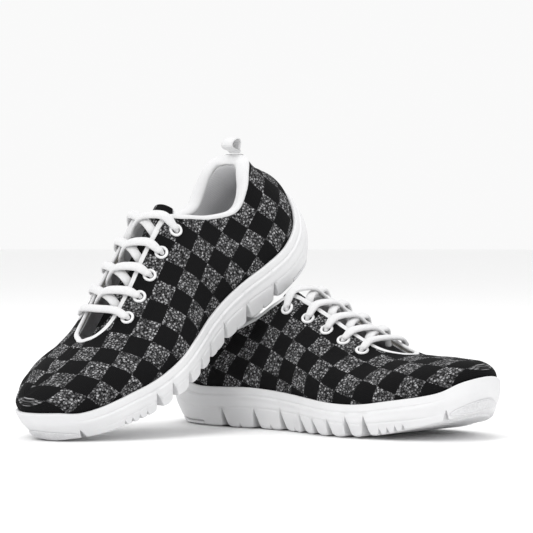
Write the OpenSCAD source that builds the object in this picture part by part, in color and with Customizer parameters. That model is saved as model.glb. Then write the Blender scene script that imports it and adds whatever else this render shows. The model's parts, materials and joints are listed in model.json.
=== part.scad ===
// Cheer shoes: a pair of low lace-up trainers with a one-piece knitted upper,
// a flexible foam sole cut by deep flex grooves, flat laces and a heel pull loop.
// The right shoe stands flat on the floor. The left shoe leans on it, toe on the floor.
// Shoe frame: x runs from heel to toe, +y is the outer side, z is up from the floor.

/* [Pair] */
// Which way the right shoe's toe turns, from +x
right_yaw = -41.3; // [-60:0.1:0]
// Place of the right shoe's middle on the floor
right_place = [49.5, 30, 0]; // [-100:0.5:100]
// Turn of the leaning left shoe about the vertical
left_yaw = 43.2; // [20:0.1:60]
// Lean of the left shoe, heel up
left_pitch = -31.8; // [-45:0.1:0]
// Sideways roll of the left shoe
left_roll = 1; // [-10:0.1:10]
// Place of the left shoe's middle, where its toe meets the floor and its sole meets the right shoe
left_place = [-62.5, 29.8, 50.9]; // [-100:0.5:100]
// Place of the pair, so that the frame's origin is the middle of its footprint
pair_place = [5, -30.4, 0]; // [-100:0.5:100]

/* [Last] */
// Length of the sole, heel to toe
shoe_l = 270; // [220:1:320]
// Width of the sole at the ball of the foot
ball_w = 103; // [85:1:120]
// Height of the collar at the heel
heel_h = 85; // [70:1:105]

/* [Sole] */
// Foam under the heel
heel_stack = 22; // [16:0.5:30]
// Foam under the ball of the foot
ball_stack = 15; // [10:0.5:22]
// Thickness of the raised lip round the upper
lip_t = 2.6; // [2:0.1:4]
// How far the sole's bottom edge is drawn in
sole_draft = 4; // [1:0.5:8]
// Width of a flex groove at the floor
groove_w = 3; // [1.5:0.1:5]
// Thickness of the rubber pads under heel and toe
pad_t = 2.5; // [1.5:0.1:4]
// Thickness of the board that the upper is sewn to
board_t = 1.2; // [0.8:0.1:2]
// Thickness of the insole
insole_t = 4; // [2:0.5:6]

/* [Upper] */
// Thickness of the knitted upper
upper_t = 1.4; // [1:0.1:2]
// Thickness of the stiffeners between upper and lining
stiffener_t = 1; // [0.6:0.1:1.6]
// Thickness of the lining
lining_t = 1; // [0.6:0.1:1.6]
// Swell of the collar padding at its thickest
padding_t = 6; // [3:0.5:9]
// Clearance left between layers
gap = 0.2; // [0.1:0.05:0.4]
// Outside diameter of an eyelet ring
eyelet_d = 9; // [7:0.5:11]
// Bore of an eyelet
eyelet_bore = 5.4; // [4.8:0.1:6.6]

/* [Laces and tongue] */
// Diameter of the lace's core
lace_d = 3.6; // [3:0.1:4.4]
// Width of the tongue under the laces
tongue_w = 52; // [40:1:60]
// Width of the tongue's neck, where it stands in the collar
neck_w = 20.8; // [16:0.2:24]
// Thickness of the padded tongue
tongue_t = 5; // [3:0.5:7]
// Width of the webbing of the pull loop
loop_w = 11; // [8:0.5:16]
// Thickness of the webbing
webbing_t = 1.2; // [0.8:0.1:2]

/* [Hidden] */
$fn = 32;

// The last, drawn for a sole 270 long and 103 wide with an 85 collar, and scaled from that.
kx = shoe_l / 270;
ky = ball_w / 103;
kz = heel_h / 85;
// Stations from heel to toe: place along the sole, outer and inner half widths,
// height of the sole's lip, the top edge of the upper (x, y, z), how steeply the upper
// meets that edge, and the height of the sole's bottom edge.
STATIONS = [
    [  0,  -2,    2,   48,    21,   0,   84.5, 85, 8],
    [  4,  12,   15,   44,    23,   9,   85,   85, 5],
    [ 13,  24,   24,   37,    28,  17,   84.5, 85, 2],
    [ 28,  35,   29.5, 30.5,  36,  22,   81,   82, 0],
    [ 48,  41.5, 33,   27,    47,  25.5, 73,   78, 0],
    [ 70,  43,   32.5, 27,    62,  25.5, 65.5, 75, 0],
    [ 91,  41.5, 31,   27.5,  82,  22.5, 72.5, 70, 0],
    [111,  40.5, 32,   26.5, 100,  19.5, 84.5, 62, 0],
    [131,  43,   35,   25,   112.5,15,   90,   54, 0],
    [151,  49,   40,   23.5, 137,  13.5, 79,   50, 0],
    [172,  54,   45,   22,   162,  15,   67,   42, 0],
    [190,  54,   48,   21.5, 184,  14,   57,   30, 0.5],
    [204,  52.5, 49,   22.5, 197.5, 9.5, 53.5, 16, 1.5],
    [217,  50,   47.5, 24.5, 204,   0,   52.5,  0, 3.5],
    [230,  47,   43,   26.5, 214.5, 0,   52,    0, 6.5],
    [242,  42.5, 37,   28.5, 227,   0,   52,    0, 9],
    [253,  36,   26.5, 31.5, 238,   0,   51.5,  0, 12],
    [262,  27.5, 16,   37,   247,   0,   51,    0, 15],
    [268,  17,    5,   40,   254,   0,   50,    0, 17.5],
    [270,   5.5, -5.5, 41,   257,   0,   49.5,  0, 19]];
LAST_STATION = len(STATIONS) - 1;
THROAT = 13;            // station where the throat's two edges meet
// Closed ring of stations: heel, outer side, toe, inner side.
RING = [for (i = [0 : 2 * LAST_STATION - 1])
    let (inner = i > LAST_STATION, s = STATIONS[inner ? 2 * LAST_STATION - i : i], w = inner ? -1 : 1)
    [kx * s[0], ky * (inner ? -s[2] : s[1]), kz * s[3], kx * s[4], ky * w * s[5], kz * s[6], s[7], s[8]]];
RINGS = len(RING);
// Top of the foam along the sole, where the foot board lies.
BED = [[-10, heel_stack + 2], [0, heel_stack + 1], [60, heel_stack], [110, heel_stack - 1],
    [140, heel_stack - 3], [190, ball_stack], [215, ball_stack + 1], [245, ball_stack + 6],
    [270, ball_stack + 14], [300, ball_stack + 20]];
// Eyelet centres from the collar down: station, and share of the way up the upper.
EYELETS = [[7.7, 0.87], [8.57, 0.845], [9.26, 0.85], [9.91, 0.853], [10.62, 0.854]];
// Flex grooves: place along the sole and depth from the floor.
GROOVES = [[71, 11], [98, 11], [122, 13], [143, 11], [157, 9], [173, 9], [189, 11], [203, 11]];
// Height of the tongue's middle line along the shoe, from its root to its top.
TONGUE = [[196, 46], [180, 51], [160, 59.5], [140, 69], [122, 78], [108, 86], [98, 92]];

COLS = RINGS * 2;       // mesh columns round the whole upper
tip_d = 2.6;            // lace tip's diameter
eyelet_wall = 0.4;      // wall of an eyelet's barrel
flange_z = 0.6;         // height of the flange's underside over the middle of its hole
foot_inset = lip_t + gap;
stiffener_d = upper_t + gap;                    // depth of the stiffeners' outside
lining_d = stiffener_d + stiffener_t + gap;     // depth of the lining's outside
foot_edge = foot_inset + lining_d + lining_t + 4 * gap;
COLLAR_END = 9.5;       // station where the collar padding has thinned to nothing
BINDING_ROW = 0.97;     // the collar's rolled edge starts here
// Rows of mesh up the upper, shared by its layers so that their facets lie parallel.
ROWS = [-1, 0, 0.2, 0.4, 0.6, 0.78, BINDING_ROW - 0.01];
function rows(a, b) = [for (i = [a : b]) ROWS[i]];
// Height of the sole's underside along the shoe.
GROUND = [for (s = STATIONS) [s[0], s[8]]];
// The whole ring of columns, one per half station.
ALL = [for (i = [0 : COLS - 1]) i * RINGS / COLS];
EVERY = [for (i = [0 : RINGS - 1]) i];

function bed_z(x) = lookup(x / kx, BED);
function spline(p0, p1, p2, p3, t) = 0.5 * (2 * p1 + (p2 - p0) * t
    + (2 * p0 - 5 * p1 + 4 * p2 - p3) * t * t + (3 * p1 - p0 - 3 * p2 + p3) * t * t * t);
// Ring values at u stations from the heel, on a closed Catmull-Rom spline.
function at(u) = let (i = floor(u), n = RINGS, k = 2 * n + i)
    spline(RING[(k - 1) % n], RING[k % n], RING[(k + 1) % n], RING[(k + 2) % n], u - i);
function unit(v) = v / max(norm(v), 0.0001);
// Outward direction of the sole's outline, level.
function outward(u) = let (d = at(u + 0.03) - at(u - 0.03)) unit([-d[1], d[0], 0]);
function edge(u, inset, z) = let (p = at(u), o = outward(u)) [p[0], p[1], z] - inset * o;
function feather(u) = edge(u, foot_inset, at(u)[2]);
function top_edge(u) = let (p = at(u)) [p[3], p[4], p[5]];
// Cubic curve of one column of the upper, from the sole's lip to the top edge.
function column(u, t) = let (f = feather(u), e = top_edge(u), o = outward(u), h = norm(e - f),
        flat = unit([f[0] - e[0], f[1] - e[1], 0]), a = at(u)[6],
        c1 = f + 0.36 * h * (0.22 * o + [0, 0, 0.97]),
        c2 = e + 0.42 * h * (cos(a) * flat - [0, 0, sin(a)]), s = 1 - t)
    s * s * s * f + 3 * s * s * t * c1 + 3 * s * t * t * c2 + t * t * t * e;
function skin(u, r) = r >= 0 ? column(u, r)
    : let (f = feather(u), low = bed_z(f[0]) + gap) [f[0], f[1], f[2] + r * (f[2] - low)];
function ridge(u) = u > THROAT - 0.01 && u < RINGS - THROAT + 0.01;
function normal(u, r) = ridge(u) && r > 0.999 ? [0, 0, 1]
    : let (du = skin(u + 0.04, r) - skin(u - 0.04, r), q = min(r, 0.96),
           dr = skin(u, q + 0.03) - skin(u, q)) unit(cross(dr, du));
function ease(a, b, v) = let (t = min(1, max(0, (v - a) / (b - a)))) t * t * (3 - 2 * t);
// Swell of the collar padding at a place on the upper.
function padding(u, r) = let (v = min(abs(u), abs(RINGS - u)))
    padding_t * ease(COLLAR_END, 6, v) * ease(0.25, 0.7, r);
// A point of a layer, depth mm inside the upper's outer face and p paddings deeper.
function layer(u, r, depth, p = 0) = skin(u, r) - (depth + p * padding(u, r)) * normal(u, r);

// A closed solid between two depths over part of the upper: columns us, rows rs.
// p0 and p1 say how much of the padding's swell its outer and inner face follow.
// A ring closes on itself, and a capped ring is also sewn shut along the ridge over the toes.
module patch(us, rs, d0, d1, p0 = 0, p1 = 0, ring = false, capped = false) {
    n = len(us);
    m = len(rs);
    k = n * m;
    last = ring ? n - 1 : n - 2;
    sewn = n * THROAT / RINGS;
    function id(i, j) = let (c = i % n)
        (capped && j == m - 1 && c > n / 2 && c <= n - sewn ? n - c : c) * m + j;
    function quad(a, b, c, d) = [[a, b, c], [a, c, d]];
    rim = [for (i = [0 : last]) if (!capped || i < sewn || i >= n - sewn) i];
    outer = [for (i = [0 : n - 1], j = [0 : m - 1]) layer(us[i], rs[j], d0, p0)];
    inner = [for (i = [0 : n - 1], j = [0 : m - 1]) layer(us[i], rs[j], d1, p1)];
    faces = concat(
        [for (i = [0 : last], j = [0 : m - 2])
            each quad(id(i, j), id(i + 1, j), id(i + 1, j + 1), id(i, j + 1))],
        [for (i = [0 : last], j = [0 : m - 2])
            each quad(k + id(i, j), k + id(i, j + 1), k + id(i + 1, j + 1), k + id(i + 1, j))],
        [for (i = [0 : last]) each quad(id(i, 0), k + id(i, 0), k + id(i + 1, 0), id(i + 1, 0))],
        [for (i = rim) each quad(id(i, m - 1), id(i + 1, m - 1), k + id(i + 1, m - 1), k + id(i, m - 1))],
        ring ? [] : [for (j = [0 : m - 2]) each concat(
            quad(id(0, j), id(0, j + 1), k + id(0, j + 1), k + id(0, j)),
            quad(id(n - 1, j), k + id(n - 1, j), k + id(n - 1, j + 1), id(n - 1, j + 1)))]);
    polyhedron(concat(outer, inner), faces, convexity = 8);
}
function steps(a, b, n) = [for (i = [0 : n]) a + (b - a) * i / n];

// A closed solid from a stack of rings, each a list of points running heel, outer side, toe,
// inner side. Its two ends are closed by rungs from the outer to the inner side.
module stack(rings) {
    n = len(rings[0]);
    m = len(rings);
    function id(l, i) = l * n + i % n;
    function rungs(l) = [for (i = [0 : n / 2 - 1]) each concat(
        i == n / 2 - 1 ? [] : [[id(l, i), id(l, i + 1), id(l, n - i - 1)]],
        i == n / 2 - 1 ? [[id(l, i), id(l, i + 1), id(l, n - i)]] : i == 0 ? []
            : [[id(l, i), id(l, n - i - 1), id(l, n - i)]])];
    function back(f) = [for (t = f) [t[0], t[2], t[1]]];
    polyhedron([for (r = rings) each r], concat(
        [for (l = [0 : m - 2], i = [0 : n - 1]) each [[id(l, i), id(l, i + 1), id(l + 1, i + 1)],
            [id(l, i), id(l + 1, i + 1), id(l + 1, i)]]],
        back(rungs(0)), rungs(m - 1)), convexity = 10);
}

// A round tube of diameter d through the points of path, with 8 sides.
module tube(path, d) {
    n = len(path);
    sides = 8;
    function dir(i) = unit(path[min(i + 1, n - 1)] - path[max(i - 1, 0)]);
    function across(i) = unit(cross(dir(i), [0.13, 0.21, 1]));
    points = [for (i = [0 : n - 1], k = [0 : sides - 1])
        let (a = across(i), b = cross(a, dir(i)), w = 360 * k / sides)
        path[i] + d / 2 * (cos(w) * a + sin(w) * b)];
    function id(i, k) = i * sides + k % sides;
    polyhedron(points, concat(
        [for (i = [0 : n - 2], k = [0 : sides - 1]) each [[id(i, k), id(i, k + 1), id(i + 1, k + 1)],
            [id(i, k), id(i + 1, k + 1), id(i + 1, k)]]],
        [[for (k = [0 : sides - 1]) id(0, sides - 1 - k)]],
        [[for (k = [0 : sides - 1]) id(n - 1, k)]]), convexity = 10);
}
// A smooth path through hand-placed points, with n steps between each two.
function smooth(p, n = 3) = [for (i = [0 : len(p) - 2], s = [0 : n - 1])
    spline(p[max(i - 1, 0)], p[i], p[i + 1], p[min(i + 2, len(p) - 1)], s / n), p[len(p) - 1]];

// ---- Sole ----
function flare(u) = 3 * ease(7, 0, min(u, RINGS - u));
function sole_ring(inset, low, up, z = 0) = [for (u = ALL) let (p = at(u))
    edge(u, inset - (low < 1 || up > 0 ? flare(u) * sin(180 * up) : 0), low * max(0, p[7]) + up * p[2] + z)];
module foam_block() {
    stack([sole_ring(sole_draft, 1, 0), sole_ring(sole_draft / 3, 0.8, 0.2), sole_ring(0, 0.45, 0.55),
        sole_ring(0.2, 0, 1, -2.5), sole_ring(0.9, 0, 1), sole_ring(lip_t - 0.2, 0, 1, 0.3),
        [for (u = ALL) let (p = edge(u, lip_t, 0)) [p[0], p[1], bed_z(p[0])]]]);
}
module grooves() {
    for (g = GROOVES) hull() {
        translate([kx * g[0] - groove_w / 2, -ball_w, -1]) cube([groove_w, 2 * ball_w, 1]);
        translate([kx * g[0] - 0.3, -ball_w, 0]) cube([0.6, 2 * ball_w, g[1]]);
    }
}
// An oval plate lying under the sole, between two places along it.
module pad(x0, x1, y_mid, half_w, grow = 0) {
    mid = (x0 + x1) / 2;
    half_l = (x1 - x0) / 2;
    function rim(dz) = [for (i = [0 : 31]) let (a = 360 * i / 32,
        x = mid - (half_l + grow) * cos(a), y = y_mid + (half_w + grow) * sin(a))
        [x, y, lookup(x / kx, GROUND) + dz]];
    stack([rim(-grow * 20), rim(pad_t + grow)]);
}
module heel_pad_shape(grow = 0) pad(kx * 8, kx * 42, ky * 3, ky * 19, grow);
module toe_pad_shape(grow = 0) pad(kx * 209, kx * 262, ky * 4, ky * 26, grow);
module midsole() color("gainsboro") difference() {
    foam_block();
    grooves();
    heel_pad_shape(0.05);
    toe_pad_shape(0.05);
}
module heel_pad() color("silver") heel_pad_shape();
module toe_pad() color("silver") toe_pad_shape();
function plate_ring(inset, z) = [for (u = EVERY) let (p = edge(u, inset, 0)) [p[0], p[1], bed_z(p[0]) + z]];
module board() color("wheat") stack([plate_ring(foot_edge, gap), plate_ring(foot_edge, gap + board_t)]);
module insole() color("whitesmoke") stack([plate_ring(foot_edge + 0.5, 2 * gap + board_t),
    plate_ring(foot_edge + 0.3, 2 * gap + board_t + insole_t * 0.7),
    plate_ring(foot_edge + 2, 2 * gap + board_t + insole_t)]);

// ---- Upper ----
function eyelet_u(e, side) = side > 0 ? e[0] : RINGS - e[0];
function eyelet_at(e, side) = skin(eyelet_u(e, side), e[1]);
function eyelet_normal(e, side) = normal(eyelet_u(e, side), e[1]);
module eyelet_place(e, side) {
    n = eyelet_normal(e, side);
    translate(eyelet_at(e, side)) rotate([0, acos(n[2]), atan2(n[1], n[0])]) children();
}
module eyelet_holes() for (side = [-1, 1], e = EYELETS) eyelet_place(e, side)
    hull() cylinder(h = 4 * stiffener_d, d = eyelet_bore + 2 * eyelet_wall + 3 * gap, center = true, $fn = 8);
module upper() color([0.12, 0.12, 0.13]) difference() {
    patch(ALL, concat(ROWS, 1), 0, upper_t, ring = true, capped = true);
    eyelet_holes();
}
module heel_counter() color("dimgray")
    patch(steps(-4, 4, 16), rows(0, 4), stiffener_d, stiffener_d + stiffener_t);
module toe_puff() color("dimgray")
    patch(steps(16, 22, 12), rows(0, 4), stiffener_d, stiffener_d + stiffener_t);
module eyestays() color("dimgray") difference() {
    for (u = [7, RINGS - 12]) patch(steps(u, u + 5, 10), rows(4, 6), stiffener_d, stiffener_d + stiffener_t);
    eyelet_holes();
}
module lining() color("white") patch(ALL, ROWS, lining_d, lining_d + lining_t, 1, 1, ring = true);
module collar_padding() color("whitesmoke") patch(steps(-8, 8, 32), rows(3, 6),
    stiffener_d + stiffener_t + gap / 2, lining_d - gap / 2, 0, 1);
module collar_binding() color("white")
    patch(steps(-8, 8, 32), [BINDING_ROW, 1], stiffener_d, lining_d + lining_t, 0, 1);
module throat_binding() color("white")
    for (us = [concat(steps(8.5, 12.5, 8), 12.9), concat(RINGS - 12.9, steps(RINGS - 12.5, RINGS - 8.5, 8))])
        patch(us, [BINDING_ROW - 0.01, 1], -1.1, -gap);
// Rings whose flange lies on the upper and whose barrel goes through it.
module eyelets() color("white") for (side = [-1, 1], e = EYELETS) eyelet_place(e, side) rotate_extrude() {
    bore = eyelet_bore / 2;
    polygon([[bore, -upper_t], [bore + eyelet_wall, -upper_t], [bore + eyelet_wall, flange_z],
        [eyelet_d / 2, flange_z], [eyelet_d / 2 - 0.3, flange_z + 0.8], [bore, flange_z + 0.8]]);
}

// ---- Tongue, lace and pull loop ----
tongue_path = smooth([for (p = TONGUE) [kx * p[0], 0, kz * p[1]]], 2);
function tongue_half(i) = let (t = i / (len(tongue_path) - 1), neck = ease(0.5, 0.75, t))
    tongue_w / 2 * (0.42 + 0.58 * ease(0, 0.45, t)) * (1 - neck) + neck_w / 2 * neck;
function tongue_point(i, v, depth) = let (p = tongue_path[i], w = tongue_half(i) * v)
    [p[0] - 0.45 * depth, w, p[2] - 0.03 * w * w - 0.85 * depth];
module tongue_layer(d0, d1) {
    n = len(tongue_path);
    top = [for (i = [0 : n - 1]) [for (v = steps(-1, 1, 8)) tongue_point(i, v, d0)]];
    low = [for (i = [0 : n - 1]) [for (v = steps(1, -1, 8)) tongue_point(i, v, d1)]];
    rows = [for (i = [0 : n - 1]) concat(top[i], low[i])];
    sides = 18;
    function id(i, k) = i * sides + k % sides;
    // The upper and the lower face are cut along the same diagonals, so that they stay parallel.
    function cell(i, k) = k < 9 ? [[id(i, k), id(i + 1, k + 1), id(i, k + 1)],
        [id(i, k), id(i + 1, k), id(i + 1, k + 1)]] : [[id(i, k), id(i + 1, k), id(i, k + 1)],
        [id(i, k + 1), id(i + 1, k), id(i + 1, k + 1)]];
    function close(i) = [for (k = [0 : 7]) each [[id(i, k), id(i, k + 1), id(i, 16 - k)],
        [id(i, k), id(i, 16 - k), id(i, 17 - k)]]];
    polyhedron([for (r = rows) each r], concat(
        [for (i = [0 : n - 2], k = [0 : sides - 1]) each cell(i, k)],
        close(0), [for (f = close(n - 1)) [f[0], f[2], f[1]]]), convexity = 6);
}
module tongue() color([0.1, 0.1, 0.1]) tongue_layer(0, tongue_t * 0.6);
module tongue_lining() color("white") tongue_layer(tongue_t * 0.6 + 3.5 * gap, tongue_t);

// A lace's way up through an eyelet and over the throat's edge.
function rising(e, side) = let (a = eyelet_at(e, side), n = eyelet_normal(e, side))
    [a - upper_t * n, a + 3.2 * n, top_edge(eyelet_u(e, side)) + [0, 0.9 * side, 3.6]];
// One crossing: over the tongue to the far edge, half an eyelet nearer to the toe, and down inside it.
function over(k, side, lift) = let (near = top_edge(eyelet_u(EYELETS[k], side)),
        far = top_edge(eyelet_u((EYELETS[k] + EYELETS[k + 1]) / 2, -side)))
    concat(rising(EYELETS[k], side), [(near + far) / 2 + [0, 0, lift], far + [0, 6 * side, -0.5],
        far + [0, 4.5 * side, -5]]);
module lace() color("white") {
    for (side = [-1, 1], k = [0 : 3]) tube(smooth(over(k, side, side > 0 ? 6 : 2), 2), lace_d);
    e = EYELETS[4];
    back = rising(e, -1);
    brink = top_edge(e[0]);
    tube(smooth(concat(rising(e, 1), [[brink[0], 0, brink[2] + 5]], [back[2], back[1], back[0]]), 2), lace_d);
}
// The lace's tips, tucked in under the tongue's upper end.
module aglets() color("lightgray") let (i = len(tongue_path) - 3, d = tongue_path[i + 1] - tongue_path[i - 1])
    for (side = [-1, 1]) translate(tongue_point(i, side * 0.5, tongue_t + tip_d / 2 + 2 * gap))
        rotate([0, atan2(d[0], d[2]), 0]) cylinder(h = 12, d = tip_d, center = true);
// Teardrop of webbing whose two ends are sewn together at the back of the collar.
module pull_loop() color("white") translate([kx * 21 + 1, loop_w / 2, kz * 84.5 + 1.1]) rotate([90, 0, 0])
    linear_extrude(loop_w) difference() {
        polygon([[-webbing_t, 0], [webbing_t, 0], [5, 6], [5, 9], [3, 11], [-3, 11], [-5, 9], [-5, 6]]);
        polygon([[0, 1.6], [5 - webbing_t, 6.3], [5 - webbing_t, 8.6], [2.6, 11 - webbing_t],
            [-2.6, 11 - webbing_t], [webbing_t - 5, 8.6], [webbing_t - 5, 6.3]]);
    }

// ---- The pair ----
module right_shoe() translate(pair_place) translate(right_place) rotate([0, 0, right_yaw])
    translate([-140 * kx, 0, 0]) mirror([0, 1, 0]) children();
module left_shoe() translate(pair_place) translate(left_place) rotate([left_roll, left_pitch, left_yaw])
    rotate([0, 0, 180]) translate([-140 * kx, 0, 0]) children();
right_shoe() midsole();  // right_midsole
right_shoe() heel_pad();  // right_heel_pad
right_shoe() toe_pad();  // right_toe_pad
right_shoe() board();  // right_board
right_shoe() insole();  // right_insole
right_shoe() upper();  // right_upper
right_shoe() heel_counter();  // right_heel_counter
right_shoe() toe_puff();  // right_toe_puff
right_shoe() lining();  // right_lining
right_shoe() collar_padding();  // right_collar_padding
right_shoe() collar_binding();  // right_collar_binding
right_shoe() throat_binding();  // right_throat_binding
right_shoe() eyelets();  // right_eyelets
right_shoe() eyestays();  // right_eyestays
right_shoe() tongue();  // right_tongue
right_shoe() tongue_lining();  // right_tongue_lining
right_shoe() lace();  // right_lace
right_shoe() aglets();  // right_aglets
right_shoe() pull_loop();  // right_pull_loop
left_shoe() midsole();  // left_midsole
left_shoe() heel_pad();  // left_heel_pad
left_shoe() toe_pad();  // left_toe_pad
left_shoe() board();  // left_board
left_shoe() insole();  // left_insole
left_shoe() upper();  // left_upper
left_shoe() heel_counter();  // left_heel_counter
left_shoe() toe_puff();  // left_toe_puff
left_shoe() lining();  // left_lining
left_shoe() collar_padding();  // left_collar_padding
left_shoe() collar_binding();  // left_collar_binding
left_shoe() throat_binding();  // left_throat_binding
left_shoe() eyelets();  // left_eyelets
left_shoe() eyestays();  // left_eyestays
left_shoe() tongue();  // left_tongue
left_shoe() tongue_lining();  // left_tongue_lining
left_shoe() lace();  // left_lace
left_shoe() aglets();  // left_aglets
left_shoe() pull_loop();  // left_pull_loop
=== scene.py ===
"""Cheer shoes: the visual model of a pair of lace-up trainers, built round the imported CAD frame.

Each shoe is drawn in its own frame (x from heel to toe, +y to the outer side, z up, all in
millimetres) and then turned and moved to its place in the pair's frame. Every soft layer is a
surface of two parameters: u runs round the shoe in stations (heel, outer side, toe, inner
side) and r runs up from the sole's lip (0) to the top edge of the upper (1).
"""
from __future__ import annotations

import json
import logging
import math
from dataclasses import dataclass, field
from enum import Enum
from typing import Any, Sequence

import bpy
import numpy as np
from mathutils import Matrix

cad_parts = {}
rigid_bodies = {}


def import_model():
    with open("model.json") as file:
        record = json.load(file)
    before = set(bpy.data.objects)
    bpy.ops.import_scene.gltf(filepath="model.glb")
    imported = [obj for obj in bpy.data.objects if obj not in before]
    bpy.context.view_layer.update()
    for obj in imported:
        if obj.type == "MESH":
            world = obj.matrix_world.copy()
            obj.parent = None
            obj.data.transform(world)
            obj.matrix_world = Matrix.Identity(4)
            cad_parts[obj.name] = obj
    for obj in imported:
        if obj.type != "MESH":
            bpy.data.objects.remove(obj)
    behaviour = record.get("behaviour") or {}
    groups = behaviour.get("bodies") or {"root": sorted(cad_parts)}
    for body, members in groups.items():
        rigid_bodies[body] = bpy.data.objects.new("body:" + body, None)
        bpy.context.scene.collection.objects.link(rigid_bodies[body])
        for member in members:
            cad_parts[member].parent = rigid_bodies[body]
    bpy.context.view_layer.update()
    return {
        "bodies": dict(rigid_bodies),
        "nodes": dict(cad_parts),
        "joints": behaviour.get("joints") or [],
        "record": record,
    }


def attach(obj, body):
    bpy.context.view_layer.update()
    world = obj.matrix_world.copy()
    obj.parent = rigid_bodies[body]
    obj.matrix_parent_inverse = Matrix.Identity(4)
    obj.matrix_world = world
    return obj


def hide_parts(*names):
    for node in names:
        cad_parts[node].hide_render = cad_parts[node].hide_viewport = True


log = logging.getLogger("cheer_shoes")
Array = np.ndarray
MM = 0.001


class Side(Enum):
    """The two shoes of the pair."""

    RIGHT = "right"
    LEFT = "left"


# ---------------------------------------------------------------- shader maths


def maths(name: str, swap: bool = False) -> Any:
    """Makes a method that joins a socket and another value in a Math node.

    Args:
        name: the Math operation.
        swap: whether the other value comes first, as in a reflected operator.

    Returns:
        The method.
    """

    def method(self: "Val", other: Any = 0.0) -> "Val":
        """Adds the node and gives its output."""
        a, b = (other, self) if swap else (self, other)
        return self.mat.node("ShaderNodeMath", {"operation": name}, {0: a, 1: b})

    return method


@dataclass
class Val:
    """A shader socket with the operators of ordinary maths, and the material it belongs to."""

    mat: "Surface"
    socket: Any

    __add__ = __radd__ = maths("ADD")
    __mul__ = __rmul__ = maths("MULTIPLY")
    __sub__ = maths("SUBTRACT")
    __rsub__ = maths("SUBTRACT", True)
    __mod__ = maths("FLOORED_MODULO")
    floor = maths("FLOOR")
    sin = maths("SINE")
    absolute = maths("ABSOLUTE")

    def above(self, edge: float, soft: float) -> "Val":
        """Smooth step from 0 to 1 round an edge.

        Args:
            edge: the value at the middle of the step.
            soft: half the width of the step.

        Returns:
            The step's value.
        """
        return self.mat.node(
            "ShaderNodeMapRange",
            {"interpolation_type": "SMOOTHSTEP"},
            {"Value": self, "From Min": edge - soft, "From Max": edge + soft},
        )


@dataclass
class Surface:
    """One material, with its node tree and its main shader."""

    name: str
    rough: float = 0.6
    sheen: float = 0.0
    specular: float = 0.5
    mat: Any = field(init=False)
    tree: Any = field(init=False)
    main: Any = field(init=False)

    def __post_init__(self) -> None:
        """Makes the material and sets the numbers that are the same all over it."""
        self.mat = bpy.data.materials.new(self.name)
        self.mat.use_nodes = True
        self.tree = self.mat.node_tree
        self.main = self.tree.nodes["Principled BSDF"]
        self.main.inputs["Roughness"].default_value = self.rough
        self.main.inputs["Sheen Weight"].default_value = self.sheen
        self.main.inputs["Specular IOR Level"].default_value = self.specular

    def node(self, kind: str, settings: dict[str, Any], sockets: dict[Any, Any], out: Any = 0) -> Val:
        """Adds a node.

        Args:
            kind: the node's type.
            settings: attributes of the node, set first.
            sockets: values or links of its input sockets, by name or number.
            out: the output to return.

        Returns:
            The chosen output.
        """
        made = self.tree.nodes.new(kind)
        for key, value in settings.items():
            setattr(made, key, value)
        for key, value in sockets.items():
            if isinstance(value, Val):
                self.tree.links.new(value.socket, made.inputs[key])
            else:
                made.inputs[key].default_value = value
        return Val(self, made.outputs[out])

    def coords(self, scale: float = 1.0) -> Val:
        """Object coordinates in metres times a scale."""
        place = self.node("ShaderNodeTexCoord", {}, {}, "Object")
        return self.node("ShaderNodeVectorMath", {"operation": "SCALE"}, {0: place, "Scale": scale})

    def uv(self) -> tuple[Val, Val, Val]:
        """The piece's own map: the vector and its two numbers."""
        vector = self.node("ShaderNodeUVMap", {"uv_map": "weave"}, {})
        return (
            vector,
            self.node("ShaderNodeSeparateXYZ", {}, {0: vector}, 0),
            self.node("ShaderNodeSeparateXYZ", {}, {0: vector}, 1),
        )

    def noise(self, vector: Val, scale: float, detail: float = 2.0) -> Val:
        """Smooth noise from 0 to 1 over a vector."""
        sockets = {"Vector": vector, "Scale": scale, "Detail": detail}
        return self.node("ShaderNodeTexNoise", {}, sockets, 0)

    def mix(self, amount: Any, dark: Sequence[float], light: Sequence[float]) -> Val:
        """Mixes two colours, each a tuple or a socket."""
        a = dark if isinstance(dark, Val) else (*dark, 1.0)
        b = light if isinstance(light, Val) else (*light, 1.0)
        settings = {"data_type": "RGBA"}
        return self.node("ShaderNodeMix", settings, {0: amount, 6: a, 7: b}, 2)

    def colour(self, value: Val) -> None:
        """Feeds the base colour."""
        self.tree.links.new(value.socket, self.main.inputs["Base Color"])

    def roughness(self, value: Val) -> None:
        """Feeds the roughness."""
        self.tree.links.new(value.socket, self.main.inputs["Roughness"])

    def bump(self, height: Val, depth_mm: float, strength: float = 1.0) -> None:
        """Feeds the normal from a height.

        Args:
            height: the height, from 0 to 1.
            depth_mm: how deep a height of 1 is, in millimetres.
            strength: the strength of the effect.
        """
        sockets = {"Height": height, "Distance": depth_mm * MM, "Strength": strength}
        made = self.node("ShaderNodeBump", {}, sockets)
        self.tree.links.new(made.socket, self.main.inputs["Normal"])


# ---------------------------------------------------------------- finishes


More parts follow.
